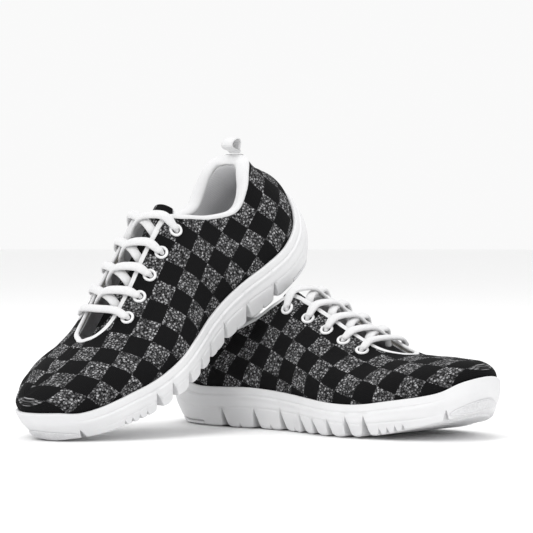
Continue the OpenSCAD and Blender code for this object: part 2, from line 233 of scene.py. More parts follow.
@dataclass(frozen=True)
class PrintedKnit:
    """Black air-mesh knit printed with a turned chequer of fine grey scrollwork, its mesh holes painted
    darker as shade.

    The piece's map holds the chequer's two coordinates, one unit to a square.
    """

    name: str = "printed_knit"
    scroll_per_square: float = 8.0
    mesh_per_square: float = 11.0

    def build(self) -> Any:
        """Makes the material.

        Returns:
            The finished material.
        """
        m = Surface(self.name, rough=0.85, specular=0.1)
        vector, p, q = m.uv()
        edge = m.noise(vector, self.scroll_per_square * 1.4, 1.0) * 0.05 - 0.025
        squares = ((p + edge).floor() + (q + edge).floor()) % 2.0
        printed = squares.above(0.5, 0.1)
        warp = m.node("ShaderNodeTexNoise", {}, {"Vector": vector, "Scale": 9.0, "Detail": 2.0}, 1)
        bent = m.node(
            "ShaderNodeVectorMath", {"operation": "MULTIPLY_ADD"}, {0: warp, 1: (0.09,) * 3, 2: vector}
        )
        cells = {"Vector": bent, "Scale": self.scroll_per_square}
        spot = m.node("ShaderNodeTexVoronoi", {"feature": "F1"}, cells)
        rim = m.node("ShaderNodeTexVoronoi", {"feature": "DISTANCE_TO_EDGE"}, cells)
        tone = m.node("ShaderNodeTexVoronoi", {"feature": "F1"}, cells, 1)
        curl = m.noise(bent, self.scroll_per_square * 1.7, 1.5).above(0.47, 0.09)
        blot = (1 - spot.above(0.36, 0.12)) * rim.above(0.1, 0.05)
        scroll = blot * 0.8 + curl * rim.above(0.06, 0.04) * 0.3
        grey = m.node("ShaderNodeSeparateXYZ", {}, {0: tone}, 0) * 0.7 + 0.3
        ink = printed * scroll * grey
        holes = self._mesh(m, p, q)
        # painted shade: the mesh holes are coloured darker than the knit, as the shade that falls inside
        # them
        knit_with_hole_shade = m.mix(holes, (0.0065, 0.0065, 0.007), (0.0022, 0.0022, 0.0024))
        m.colour(m.mix(ink, knit_with_hole_shade, (0.46, 0.46, 0.47)))
        m.roughness(0.9 - ink * 0.2)
        m.bump((1 - holes) * 0.8 + ink * 0.2, 0.22, 0.8)
        return m.mat

    def _mesh(self, m: Surface, p: Val, q: Val) -> Val:
        """Rows of small round holes, every second row shifted by half a step.

        Args:
            m: the surface; not used.
            p: first chequer coordinate.
            q: second chequer coordinate.

        Returns:
            1 in the holes and 0 between them.
        """
        across = p * self.mesh_per_square
        down = q * self.mesh_per_square * 1.15
        shift = (down.floor() % 2.0) * 0.5
        wave = ((across + shift) * (2 * math.pi)).sin() * 0.5 + 0.5
        row = (down * (2 * math.pi) + 0.5 * math.pi).sin() * 0.5 + 0.5
        return (wave * row).above(0.45, 0.2)


@dataclass(frozen=True)
class Mottled:
    """A plain finish whose colour, roughness and grain vary softly with noise, in millimetres.

    Patch and grain are each a noise's scale and detail. Step is the middle and the half width of
    the smooth step that the patches' noise passes through.
    """

    name: str
    dark: tuple[float, float, float]
    light: tuple[float, float, float]
    patch: tuple[float, float]
    step: tuple[float, float]
    grain: tuple[float, float]
    rough: float
    swing: float = 0.0
    specular: float = 0.5
    depth_mm: float = 0.05
    strength: float = 0.5

    def build(self) -> Any:
        """Makes the material."""
        m = Surface(self.name, rough=self.rough, specular=self.specular)
        place = m.coords(1000.0)
        grain = m.noise(place, *self.grain)
        m.colour(m.mix(m.noise(place, *self.patch).above(*self.step), self.dark, self.light))
        if self.swing:
            m.roughness(grain * self.swing + self.rough)
        m.bump(grain, self.depth_mm, self.strength)
        return m.mat


@dataclass(frozen=True)
class Weave:
    """Woven or knitted white cloth: threads cross in a grid on the piece's map, in millimetres. Its dark
    colour is painted shade between the threads.
    """

    name: str
    light: tuple[float, float, float]
    dark: tuple[float, float, float]
    thread_mm: float
    slant: float = 0.0
    depth_mm: float = 0.12
    rough: float = 0.85

    def build(self) -> Any:
        """Makes the material."""
        m = Surface(self.name, rough=self.rough, sheen=0.3, specular=0.25)
        vector, p, q = m.uv()
        step = math.pi / self.thread_mm
        a = (p * step + q * (step * self.slant)).sin()
        b = (q * step - p * (step * self.slant)).sin()
        threads = (a * b).absolute()
        lint = m.noise(vector, 0.35, 3.0)
        # painted shade: the colour darkens between the threads, where shade falls in the weave; the lint
        # noise is real mottling
        shade = threads.above(0.25, 0.3) * 0.65 + lint * 0.35
        m.colour(m.mix(shade, self.dark, self.light))
        m.bump(threads * 0.8 + m.noise(vector, 3.0, 2.0) * 0.2, self.depth_mm, 0.7)
        return m.mat


# ---------------------------------------------------------------- the last

# Stations from heel to toe: place along the sole, outer and inner half widths, lip height,
# place, half width and height of the top edge, slope there in degrees, underside's height.
STATIONS = np.array(
    [
        [0, -2, 2, 48, 21, 0, 84.5, 85, 8], [4, 12, 15, 44, 23, 9, 85, 85, 5],
        [13, 24, 24, 37, 28, 17, 84.5, 85, 2], [28, 35, 29.5, 30.5, 36, 22, 81, 82, 0],
        [48, 41.5, 33, 27, 47, 25.5, 73, 78, 0], [70, 43, 32.5, 27, 62, 25.5, 65.5, 75, 0],
        [91, 41.5, 31, 27.5, 82, 22.5, 72.5, 70, 0], [111, 40.5, 32, 26.5, 100, 19.5, 84.5, 62, 0],
        [131, 43, 35, 25, 112.5, 15, 90, 54, 0], [151, 49, 40, 23.5, 137, 13.5, 79, 50, 0],
        [172, 54, 45, 22, 162, 15, 67, 42, 0], [190, 54, 48, 21.5, 184, 14, 57, 30, 0.5],
        [204, 52.5, 49, 22.5, 197.5, 9.5, 53.5, 16, 1.5], [217, 50, 47.5, 24.5, 204, 0, 52.5, 0, 3.5],
        [230, 47, 43, 26.5, 214.5, 0, 52, 0, 6.5], [242, 42.5, 37, 28.5, 227, 0, 52, 0, 9],
        [253, 36, 26.5, 31.5, 238, 0, 51.5, 0, 12], [262, 27.5, 16, 37, 247, 0, 51, 0, 15],
        [268, 17, 5, 40, 254, 0, 50, 0, 17.5], [270, 5.5, -5.5, 41, 257, 0, 49.5, 0, 19],
    ]
)
BED = np.array(
    [[-10, 24], [0, 23], [60, 22], [110, 21], [140, 19], [190, 15], [215, 16], [245, 21], [270, 29],
     [300, 35]]
)
# Eyelet centres from the collar down: station, and share of the way up the upper.
EYELETS = np.array([[7.7, 0.87], [8.57, 0.845], [9.26, 0.85], [9.91, 0.853], [10.62, 0.854]])
TONGUE = np.array([[196, 46], [180, 51], [160, 59.5], [140, 69], [122, 78], [108, 86], [98, 92]])
GROOVES = np.array([[71, 11], [98, 11], [122, 13], [143, 11], [157, 9], [173, 9], [189, 11], [203, 11]])
TICKS = np.array([[84, 2.0], [110, 2.0], [133, 2.2], [213, 3.5], [218.5, 3.5], [224, 3.5], [229.5, 3.2]])
TOE_GROOVE = (256.0, 7.0)
COLLAR_END = 8.5
THROAT = 13.0
LIP = 2.6
GAP = 0.2
UPPER = 1.4
STIFFENER_AT = UPPER + GAP
LINING_AT = STIFFENER_AT + 1.0 + GAP
LINING_END = LINING_AT + 1.0
LENGTH = 270.0
PAD_T = 2.45
CHEQUER = 14.6


def unit(v: Array) -> Array:
    """Scales vectors to length 1."""
    return v / np.maximum(np.linalg.norm(v, axis=-1, keepdims=True), 1e-6)


def ease(a: float, b: float, v: Array) -> Array:
    """Smooth step from 0 at a to 1 at b."""
    t = np.clip((v - a) / (b - a), 0.0, 1.0)
    return t * t * (3 - 2 * t)


def turns(n: int) -> Array:
    """Angles of n even steps round a circle."""
    return np.linspace(0, 2 * np.pi, n, endpoint=False)


def powered(v: Array, power: float) -> Array:
    """Raises values to a power and keeps their signs."""
    return np.sign(v) * np.abs(v) ** power


def climb(points: Array, axis: int) -> Array:
    """Distance gone along one axis of a grid of points."""
    first = points[:, :1] if axis == 1 else points[:1]
    return np.linalg.norm(np.diff(points, axis=axis, prepend=first), axis=-1).cumsum(axis)


def inwards(edge: Array, mate: Array, n: int) -> Array:
    """Rows of n points from an edge to the middle line between it and the facing edge.

    Args:
        edge: one point per column.
        mate: number of the facing column of each column.
        n: points in a row.

    Returns:
        Array of shape (columns, n, 3).
    """
    s = np.linspace(0, 1, n)[None, :, None]
    return edge[:, None] * (1 - s) + (edge + edge[mate])[:, None] / 2 * s


def catmull(points: Array, t: Array, closed: bool = False) -> Array:
    """Points of a Catmull-Rom spline.

    Between points p1 and p2 the value is half of (2 p1 + (p2 - p0) s + (2 p0 - 5 p1 + 4 p2 - p3)
    s squared + (3 p1 - p0 - 3 p2 + p3) s cubed), where s is the part of the step done.

    Args:
        points: one row per point.
        t: places along it, one unit per point.
        closed: whether the spline runs round.

    Returns:
        One row per place.
    """
    n = len(points)
    i = np.floor(t).astype(int)
    if closed:
        p = [points[(i + k) % n] for k in (-1, 0, 1, 2)]
    else:
        i = np.minimum(i, n - 2)
        p = [points[np.clip(i + k, 0, n - 1)] for k in (-1, 0, 1, 2)]
    s = (t - i)[..., None]
    return 0.5 * (
        2 * p[1]
        + (p[2] - p[0]) * s
        + (2 * p[0] - 5 * p[1] + 4 * p[2] - p[3]) * s**2
        + (3 * p[1] - p[0] - 3 * p[2] + p[3]) * s**3
    )


@dataclass
class Last:
    """The shape that the sole and the upper are drawn on, in the shoe's own millimetres."""

    ring: Array = field(init=False)

    def __post_init__(self) -> None:
        """Closes the stations into a ring: heel, outer side, toe, inner side."""
        outer = STATIONS[:, [0, 1, 3, 4, 5, 6, 7, 8]]
        inner = STATIONS[-2:0:-1][:, [0, 2, 3, 4, 5, 6, 7, 8]] * [1, -1, 1, 1, -1, 1, 1, 1]
        self.ring = np.vstack([outer, inner])

    @property
    def rings(self) -> int:
        """Number of stations round the ring."""
        return len(self.ring)

    def at(self, u: Array) -> Array:
        """Ring values at stations u."""
        return catmull(self.ring, np.mod(u, self.rings), closed=True)

    def outward(self, u: Array) -> Array:
        """Level direction out of the sole's outline."""
        d = self.at(u + 0.03) - self.at(u - 0.03)
        return unit(np.stack([-d[..., 1], d[..., 0], 0 * u], -1))

    def edge(self, u: Array, inset: Any, z: Any) -> Array:
        """Outline of the sole, moved inwards, at height z."""
        p, o = self.at(u), self.outward(u)
        flat = np.stack([p[..., 0], p[..., 1], np.broadcast_to(z, u.shape)], -1)
        return flat - np.broadcast_to(inset, u.shape)[..., None] * o

    def bed(self, x: Array) -> Array:
        """Height of the foam under the foot."""
        return np.interp(x, BED[:, 0], BED[:, 1])

    def column(self, u: Array, r: Array) -> Array:
        """Point of the upper's outer face.

        Each column is a cubic Bezier curve. It leaves the lip nearly upright, leaning outwards a
        little, for 0.36 of its chord, and reaches the top edge from below at the edge's own
        slope over 0.42 of its chord.

        Args:
            u: stations.
            r: how far up the column, 0 to 1.

        Returns:
            One point per pair.
        """
        p = self.at(u)
        f = self.edge(u, LIP + GAP, p[..., 2])
        e = p[..., 3:6]
        h = np.linalg.norm(e - f, axis=-1, keepdims=True)
        flat = unit((f - e) * [1, 1, 0])
        a = np.radians(p[..., 6])[..., None]
        up = np.array([0, 0, 1.0])
        c1 = f + 0.36 * h * (0.22 * self.outward(u) + 0.97 * up)
        c2 = e + 0.42 * h * (np.cos(a) * flat - np.sin(a) * up)
        t = r[..., None]
        s = 1 - t
        return s**3 * f + 3 * s * s * t * c1 + 3 * s * t * t * c2 + t**3 * e

    def skin(self, u: Array, r: Array) -> Array:
        """Outer face of the upper; below r = 0 it drops upright behind the sole's lip."""
        top = self.column(u, np.maximum(r, 0))
        low = self.bed(top[..., 0]) + GAP
        drop = np.minimum(r, 0) * (self.at(u)[..., 2] - low)
        return top + drop[..., None] * np.array([0, 0, 1.0])

    def normal(self, u: Array, r: Array) -> Array:
        """Outward normal of the skin, from the cross product of its two slopes."""
        du = self.skin(u + 0.04, r) - self.skin(u - 0.04, r)
        q = np.minimum(r, 0.96)
        dr = self.skin(u, q + 0.03) - self.skin(u, q)
        n = unit(np.cross(dr, du))
        v = np.mod(u, self.rings)
        ridge = ease(0.9, 1.0, r) * ((v > THROAT - 0.01) & (v < self.rings - THROAT + 0.01))
        return unit(n * (1 - ridge[..., None]) + ridge[..., None] * np.array([0, 0, 1.0]))

    def padding(self, u: Array, r: Array) -> Array:
        """Swell of the collar's padding."""
        v = np.mod(u, self.rings)
        v = np.minimum(v, self.rings - v)
        return 6.0 * ease(9.5, 6, v) * ease(0.25, 0.7, r)

    def layer(self, u: Array, r: Array, depth: Any, p: float = 0.0) -> Array:
        """Point of a layer depth mm inside the upper's face and p paddings deeper."""
        deep = depth + p * self.padding(u, r)
        return self.skin(u, r) - np.broadcast_to(deep, u.shape)[..., None] * self.normal(u, r)

    def eyelet(self, spot: Array, side: int) -> tuple[Array, Array]:
        """Centre and outward normal of an eyelet on the outer (1) or the inner (-1) side."""
        u = np.array([spot[0] if side > 0 else self.rings - spot[0]])
        r = np.array([spot[1]])
        return self.skin(u, r)[0], self.normal(u, r)[0]

    def brink(self, u: float, side: int) -> Array:
        """Point of the top edge on one side."""
        return self.at(np.array([u if side > 0 else self.rings - u]))[0, 3:6]

    def station(self, x: Array, inner: bool) -> Array:
        """Station of the outline at a place along the sole, on one side."""
        u = np.linspace(0, self.rings / 2, 4000)
        along = self.at(self.rings - u if inner else u)[:, 0]
        found = np.interp(x, np.maximum.accumulate(along), u)
        return self.rings - found if inner else found


@dataclass
class Shoe:
    """One shoe's place in the pair, and the means to put pieces there."""

    side: Side
    last: Last
    frame: dict[str, Any]
    turn: Array = field(init=False)
    shift: Array = field(init=False)

    def __post_init__(self) -> None:
        """Sets the turn and the shift that carry shoe millimetres to the pair's frame."""
        if self.side is Side.RIGHT:
            self.turn = self._turn(-41.3, 0, 0) @ np.diag([1.0, -1, 1])
            place = np.array([54.5, -0.4, 0])
        else:
            self.turn = self._turn(43.2, -31.8, 1) @ np.diag([-1.0, -1, 1])
            place = np.array([-57.5, -0.6, 50.9])
        self.shift = place - self.turn @ np.array([140.0, 0, 0])

    @staticmethod
    def _turn(yaw: float, pitch: float, roll: float) -> Array:
        """Rotation by roll about x, then pitch about y, then yaw about z, in degrees."""
        (cy, sy), (cp, sp), (cr, sr) = [
            (math.cos(math.radians(a)), math.sin(math.radians(a))) for a in (yaw, pitch, roll)
        ]
        z = np.array([[cy, -sy, 0], [sy, cy, 0], [0, 0, 1]])
        y = np.array([[cp, 0, sp], [0, 1, 0], [-sp, 0, cp]])
        x = np.array([[1, 0, 0], [0, cr, -sr], [0, sr, cr]])
        return z @ y @ x

    def place(self, points: Array) -> Array:
        """Carries shoe millimetres to the pair's frame in metres."""
        return (points @ self.turn.T + self.shift) * MM

    def name(self, part: str) -> str:
        """The CAD name of one of this shoe's parts."""
        return f"{self.side.value}_{part}"

    def add(
        self, part: str, mesh: "Net", finish: Any, slot: str, body: str = "shoe", cad: Sequence[str] = ()
    ) -> Any:
        """Makes a piece and ties it to the frame.

        Args:
            part: the piece's name.
            mesh: its surface in shoe millimetres.
            finish: its material.
            slot: the record's material slot; not used.
            body: the last word of the CAD body that it rides on.
            cad: the CAD nodes that it stands for, without the side.

        Returns:
            The object.
        """
        way = -1 if np.linalg.det(self.turn) < 0 else 1
        faces, corners = mesh.faces[:, ::way], mesh.corner[:, ::way]
        made = build_object(self.name(f"{part}_look"), self.place(mesh.points), faces, mesh.uv[corners])
        made.data.materials.append(finish)
        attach(made, self.name(body))
        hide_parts(*[self.name(c) for c in cad])
        log.info("%s: %d vertices", made.name, len(mesh.points))
        return made


def build_object(name: str, points: Array, faces: Array, uvs: Array) -> Any:
    """Makes a smooth mesh object of quads.

    Args:
        name: the object's name.
        points: vertices in metres.
        faces: four vertex numbers per face.
        uvs: map coordinates, four per face.

    Returns:
        The object.
    """
    mesh = bpy.data.meshes.new(name)
    mesh.vertices.add(len(points))
    mesh.vertices.foreach_set("co", points.ravel())
    mesh.loops.add(faces.size)
    mesh.loops.foreach_set("vertex_index", faces.ravel())
    mesh.polygons.add(len(faces))
    mesh.polygons.foreach_set("loop_start", np.arange(0, faces.size, 4))
    mesh.polygons.foreach_set("use_smooth", np.ones(len(faces), bool))
    layer = mesh.uv_layers.new(name="weave")
    layer.data.foreach_set("uv", uvs.ravel())
    mesh.update(calc_edges=True)
    mesh.validate()
    made = bpy.data.objects.new(name, mesh)
    bpy.context.scene.collection.objects.link(made)
    return made


@dataclass
class Net:
    """A quad mesh with a map of its own."""

    points: Array
    faces: Array
    uv: Array
    corner: Array

    @classmethod
    def grid(cls, points: Array, uv: Array, round_u: bool = False, round_v: bool = False) -> "Net":
        """Makes a net from a grid of points.

        Args:
            points: array of shape (columns, rows, 3).
            uv: array of shape (columns, rows, 2).
            round_u: whether the last column joins the first.
            round_v: whether the last row joins the first.

        Returns:
            The net. Its faces look along the cross product of the rows' way and the columns' way.
        """
        n, m = points.shape[:2]
        columns, rows = np.arange(n if round_u else n - 1), np.arange(m if round_v else m - 1)
        i, j = np.meshgrid(columns, rows, indexing="ij")
        a, b = (i + 1) % n, (j + 1) % m
        faces = np.stack([i * m + j, i * m + b, a * m + b, a * m + j], -1).reshape(-1, 4)
        wide = np.concatenate([uv, 2 * uv[-1:] - uv[-2:-1]]) if round_u else uv
        wide = np.concatenate([wide, 2 * wide[:, -1:] - wide[:, -2:-1]], 1) if round_v else wide
        k = wide.shape[1]
        at = i * k + j
        corner = np.stack([at, at + 1, at + k + 1, at + k], -1).reshape(-1, 4)
        return cls(points.reshape(-1, 3), faces, wide.reshape(-1, 2), corner)

    def joined(self, other: "Net") -> "Net":
        """Both nets as one."""
        return Net(
            np.vstack([self.points, other.points]),
            np.vstack([self.faces, other.faces + len(self.points)]),
            np.vstack([self.uv, other.uv]),
            np.vstack([self.corner, other.corner + len(self.uv)]),
        )


def shell(
    last: Last, us: Array, rs: Array, d0: Any, d1: Any, p0: float, p1: float, ring: bool, uv: Any
) -> Net:
    """A closed layer of the upper: its outer face, its inner face and the rolled edges between.

    The rows go up the outer face and down the inner one. Two more rows at each turn, moved
    outwards by 0.3 of the thickness, round the edge off.

    Args:
        last: the last.
        us: stations of the columns.
        rs: rows from the bottom to the top.
        d0: depth of the outer face.
        d1: depth of the inner face.
        p0: how much of the padding's swell the outer face follows.
        p1: how much the inner face follows.
        ring: whether the columns run all the way round.
        uv: function from stations, rows and points to map coordinates.

    Returns:
        The net.
    """
    u, r = np.meshgrid(us, rs, indexing="ij")
    outer, inner = last.layer(u, r, d0, p0), last.layer(u, r, d1, p1)
    thick = np.linalg.norm(outer - inner, axis=-1)[..., None]

    def bulge(j: int, sign: int) -> Array:
        """Two rows beyond one edge."""
        way = unit(outer[:, j] + inner[:, j] - outer[:, j - sign] - inner[:, j - sign])
        far = 0.3 * thick[:, j] * way
        return np.stack([outer[:, j] * (1 - s) + inner[:, j] * s + far for s in (0.2, 0.8)], 1)

    top, foot = bulge(-1, 1), bulge(0, -1)
    points = np.concatenate([outer, top, inner[:, ::-1], foot[:, ::-1]], 1)
    face_map = uv(u, r, outer)
    top_map, foot_map = (np.repeat(face_map[:, [j]], 2, 1) for j in (-1, 0))
    maps = np.concatenate([face_map, top_map, face_map[:, ::-1], foot_map], 1)
    net = Net.grid(points, maps, round_u=ring, round_v=True)
    return net if ring else net.joined(end_caps(points, maps))


def end_caps(points: Array, maps: Array) -> Net:
    """Closes the two ends of a tube of rings whose rows run out along one face and back.

    Args:
        points: array of shape (rings, rows, 3) with an even number of rows.
        maps: array of shape (rings, rows, 2).

    Returns:
        Quads between facing rows of the first and the last ring.
    """
    m = points.shape[1]
    j = np.arange(m // 2 - 1)
    front = np.stack([j, m - 1 - j, m - 2 - j, j + 1], -1)
    rows = np.concatenate([points[0], points[-1]])
    faces = np.vstack([front, front[:, ::-1] + m])
    flat = np.concatenate([maps[0], maps[-1]])
    return Net(rows, faces, flat, faces)


def tube(path: Array, half_w: Any, half_t: Any, up: Array, sides: int = 20, power: float = 2.0) -> Net:
    """A strap or cord of oval section along a path.

    The section is a superellipse: across is half_w cos(a) and up is half_t sin(a), each raised
    to 2 / power with its sign kept.

    Args:
        path: points along its middle.
        half_w: half width, one number or one per point.
        half_t: half thickness, one number or one per point.
        up: direction of the thickness, one or one per point.
        sides: corners of the section.
        power: 2 for an oval, more for a squarer strap.

    Returns:
        A net with map coordinates in millimetres along and round, closed at both ends.
    """
    along = unit(np.gradient(path, axis=0))
    across = unit(np.cross(along, np.broadcast_to(up, path.shape)))
    top = np.cross(across, along)
    a = turns(sides)
    c, s = powered(np.cos(a), 2 / power), powered(np.sin(a), 2 / power)
    w = np.broadcast_to(half_w, len(path))[:, None, None]
    t = np.broadcast_to(half_t, len(path))[:, None, None]
    points = path[:, None] + w * c[None, :, None] * across[:, None] + t * s[None, :, None] * top[:, None]
    run = climb(path, 0)
    girth = np.broadcast_to(a * np.mean(half_w) * 1.3, points.shape[:2])
    maps = np.stack([np.broadcast_to(run[:, None], girth.shape), girth], -1)
    return Net.grid(points, maps, round_v=True).joined(end_caps(points, maps))


def resample(points: Sequence[Sequence[float]], n: int) -> Array:
    """Evenly spaced points on the Catmull-Rom spline through a few."""
    p = np.asarray(points, float)
    fine = catmull(p, np.linspace(0, len(p) - 1.0001, 600))
    run = climb(fine, 0)
    want = np.linspace(0, run[-1], n)
    return np.stack([np.interp(want, run, fine[:, k]) for k in range(3)], -1)


# ---------------------------------------------------------------- sub-assemblies


@dataclass
class Sole:
    """Foam block with its flex grooves and mould lines, and the two rubber pads under it."""

    shoe: Shoe
    groove_half: float = 1.5
    mould_lines: tuple[float, float] = (5.0, 13.0)
    heel_end: float = 50.0

    def _xs(self) -> Array:
        """Places of the columns along the sole, close together at every groove."""
        near = np.array([-6, -4.5, -3.2, -2.4, -1.9, -1.5, -1.1, -0.7, -0.4, -0.2, 0])
        near = np.concatenate([near, -near[-2::-1]])
        fine = [g + near for g in GROOVES[:, 0]] + [g + near * 0.45 for g in TICKS[:, 0]]
        ends = LENGTH * (1 - np.cos(np.linspace(0, np.pi, 150))) / 2
        step = self.heel_end + np.linspace(0, 1.6, 9)
        xs = np.concatenate([ends, TOE_GROOVE[0] + near * 0.8, step, *fine])
        xs = np.unique(np.round(np.clip(xs, 0.02, LENGTH - 0.02), 2))
        return xs[np.concatenate([[True], np.diff(xs) > 0.07])]

    def rise(self, x: Array) -> Array:
        """How far the grooves and ticks lift the underside.

        Each groove is its depth times (1 - distance / half width) to the power 0.6, and a
        flare 7 mm wide on each side rounds the blocks' corners. The heel is lifted by the
        thickness of its rubber pad.
        """
        d = np.abs(x[..., None] - GROOVES[:, 0])
        slot = GROOVES[:, 1] * np.clip(1 - d / (self.groove_half + 1.1), 0, 1) ** 0.6
        flare = 2.6 * np.clip(1 - d / 7, 0, 1) ** 2
        k = np.abs(x[..., None] - TICKS[:, 0])
        tick = TICKS[:, 1] * np.clip(1 - k / 1.1, 0, 1) ** 0.8 + 0.4 * np.clip(1 - k / 2.7, 0, 1) ** 2
        toe = TOE_GROOVE[1] * np.clip(1 - np.abs(x - TOE_GROOVE[0]) / 1.5, 0, 1) ** 0.8
        heel = (PAD_T + 0.3) * ease(self.heel_end + 1.2, self.heel_end + 0.4, x)
        return np.maximum(np.maximum(np.maximum((slot + flare).max(-1), tick.max(-1)), toe), heel)

    def wall(self, u: Array, high: Array) -> Array:
        """How far the side wall stands in from the outline, at a share of its height.

        It is drawn in by 4 mm at the floor, swells by 3 mm round the heel, and is hollowed by
        0.8 mm along the toe's bumper.
        """
        near = np.minimum(u, self.shoe.last.rings - u)
        bumper = 0.8 * ease(13.8, 15.8, near) * np.exp(-(((high - 0.42) / 0.16) ** 2))
        return 4 * (1 - ease(0, 0.62, high)) ** 1.25 - 3 * ease(7, 0, near) * np.sin(np.pi * high) + bumper

    def block(self) -> Net:
        """The foam block as one closed surface.

        Each column has rows from the underside's middle out to the edge, up the side wall, over
        the lip, and in across the foot bed to the middle. The wall's rows start at the lifted
        underside, so that a groove runs right across the sole.
        """
        last = self.shoe.last
        xs = self._xs()
        u = np.concatenate([last.station(xs, False), last.station(xs[::-1], True)])
        x = np.concatenate([xs, xs[::-1]])
        p = last.at(u)
        ground = np.maximum(p[:, 7], 0)
        under = ground + self.rise(x)
        lip = p[:, 2]
        t = np.concatenate([[0, 0.015, 0.04, 0.08], np.linspace(0.12, 0.9, 44), [0.93, 0.96, 0.98, 1.0]])
        z = under[:, None] + t * (lip - 0.4 - under)[:, None]
        high = np.clip((z - ground[:, None]) / np.maximum(lip - ground, 1)[:, None], 0, 1)
        inset = self.wall(u[:, None], high)
        inset = inset + 1.5 * (1 - np.clip(t / 0.06, 0, 1)) ** 2
        down = lip[:, None] - z
        fade = ease(262, 235, x)[:, None]
        for place, deep in zip(self.mould_lines, (0.55, 0.45)):
            shift = place + 1.2 * np.sin(x / 34.0)[:, None] * (place > 8)
            inset = inset + deep * np.exp(-(((down - shift) / 0.55) ** 2)) * fade * ease(0.02, 0.1, t)
        inset = inset - 0.5 * ease(9, 6.5, down) * ease(4.5, 6.5, down) * fade
        wall = last.edge(np.broadcast_to(u[:, None], z.shape), inset, z)
        over = np.array([[0.35, -0.05], [0.9, 0.12], [1.5, 0.16], [2.1, 0.05], [2.45, -0.5]])
        big = np.broadcast_to(u[:, None], (len(u), len(over)))
        roll = last.edge(big, over[:, 0], lip[:, None] + over[:, 1])
        inner = last.edge(u, LIP, 0 * u)
        inner[:, 2] = last.bed(inner[:, 0])
        mate = np.arange(len(u))[::-1]
        base = inwards(wall[:, 0], mate, 15)[:, :0:-1]
        bed = inwards(inner, mate, 15)
        points = np.concatenate([base, wall, roll, bed], 1)
        maps = np.stack(np.broadcast_arrays(x[:, None], points[..., 2]), -1)
        return Net.grid(points, maps, round_u=True)

    def plate(self, rim: Array, centre: Array, rings: Array, ribs: float, rib_h: float) -> Net:
        """A rubber plate under the sole: rings of its rim, shrunk towards its middle.

        Its underside lies on the ground line and is lifted in ribs across it, by the positive
        part of a sine of the place along the sole.

        Args:
            rim: its outline.
            centre: its middle.
            rings: each ring's share of the rim's size and of the plate's thickness.
            ribs: distance between ribs.
            rib_h: height of a rib.

        Returns:
            The net.
        """
        grow, up = rings[:, 0][None], rings[:, 1][None]
        flat = centre + grow[..., None] * (rim[:, None] - centre)
        ground = np.interp(flat[..., 0], STATIONS[:, 0], STATIONS[:, 8])
        rib = rib_h * np.maximum(np.sin(flat[..., 0] * (2 * np.pi / ribs)), 0) * (up < 0.2)
        points = np.concatenate([flat, (ground + PAD_T * up + rib)[..., None]], -1)
        return Net.grid(points, flat, round_u=True)

    def toe_plate(self) -> Net:
        """The oval rubber plate under the toe."""
        a = turns(160)
        centre, half = np.array([235.5, 4.0]), np.array([26.5, 26.0])
        rings = np.array([[0.001, 0], [0.25, 0], [0.5, 0], [0.7, 0], [0.85, 0], [0.94, 0], [0.98, 0.1],
                          [1, 0.35], [1, 0.7], [0.985, 0.95], [0.9, 1], [0.5, 1], [0.001, 1]])
        return self.plate(centre + half * np.stack([-np.cos(a), np.sin(a)], -1), centre, rings, 4.5, 0.45)

    def heel_plate(self) -> Net:
        """The rubber plate under the heel.

        Its rim follows the outline 4.3 mm inside it, closed by a straight line across the sole.
        """
        last = self.shoe.last
        outer, inner = (last.station(np.array([self.heel_end]), side)[0] for side in (False, True))
        rim = last.edge(np.linspace(outer, inner - last.rings, 90) % last.rings, 4.3, 0.0)[:, :2]
        s = np.linspace(0, 1, 26)[1:-1, None]
        rim = np.concatenate([rim, rim[-1] * (1 - s) + rim[0] * s])
        rings = np.array([[0.001, 0], [0.3, 0], [0.5, 0], [0.65, 0], [0.8, 0], [0.9, 0], [0.96, 0.04],
                          [0.99, 0.2], [1, 0.4], [1, 0.75], [0.985, 0.97], [0.9, 1], [0.5, 1], [0.001, 1]])
        return self.plate(rim, np.array([26.0, 3.0]), rings, 5.0, 0.5)

    def toe_wrap(self) -> Net:
        """The part of the toe's rubber that wraps up on to the bumper: a long ribbed oval.

        It is an oval in stations along the outline and millimetres up the wall, laid on the
        wall and standing out from it by its thickness. Ribs follow the oval.
        """
        last = self.shoe.last
        a = turns(200)[:, None]
        face = 28
        rim = [0.94, 0.97, 0.99, 1, 1, 0.99, 0.9, 0.6, 0.3, 0.001]
        grow = np.concatenate([np.linspace(0.001, 0.9, face), rim])[None]
        out = np.concatenate([np.ones(face), [0.97, 0.85, 0.6, 0.3, 0.1, 0.02], np.zeros(4)])[None]
        middle = 18.45
        u = middle - 1.95 * grow * np.cos(a)
        up = 4.3 + 3.7 * grow * np.sin(a) + 0.3 * (u - middle)
        p = last.at(u.ravel()).reshape(u.shape + (8,))
        high = up / (p[..., 2] - p[..., 7])
        groove = 0.32 * np.exp(-(((grow - 0.8) / 0.035) ** 2))
        rib = 0.22 * np.maximum(np.sin(u * 22 + up * 1.1), 0) * (grow < 0.7)
        stand = 0.06 + 0.95 * out - (groove + rib) * (out > 0.99)
        inset = self.wall(u, high) - stand
        points = last.edge(u.ravel(), inset.ravel(), (p[..., 7] + up).ravel()).reshape(u.shape + (3,))
        return Net.grid(points, points[..., :2], round_u=True)

    def build(self, foam: Any, rubber: Any) -> None:
        """Adds the sole's pieces."""
        shoe = self.shoe
        toe = self.toe_plate().joined(self.toe_wrap())
        shoe.add("midsole", self.block(), foam, "sole_foam", cad=["midsole"])
        shoe.add("heel_pad", self.heel_plate(), rubber, "sole_rubber", cad=["heel_pad"])
        shoe.add("toe_pad", toe, rubber, "sole_rubber", cad=["toe_pad"])


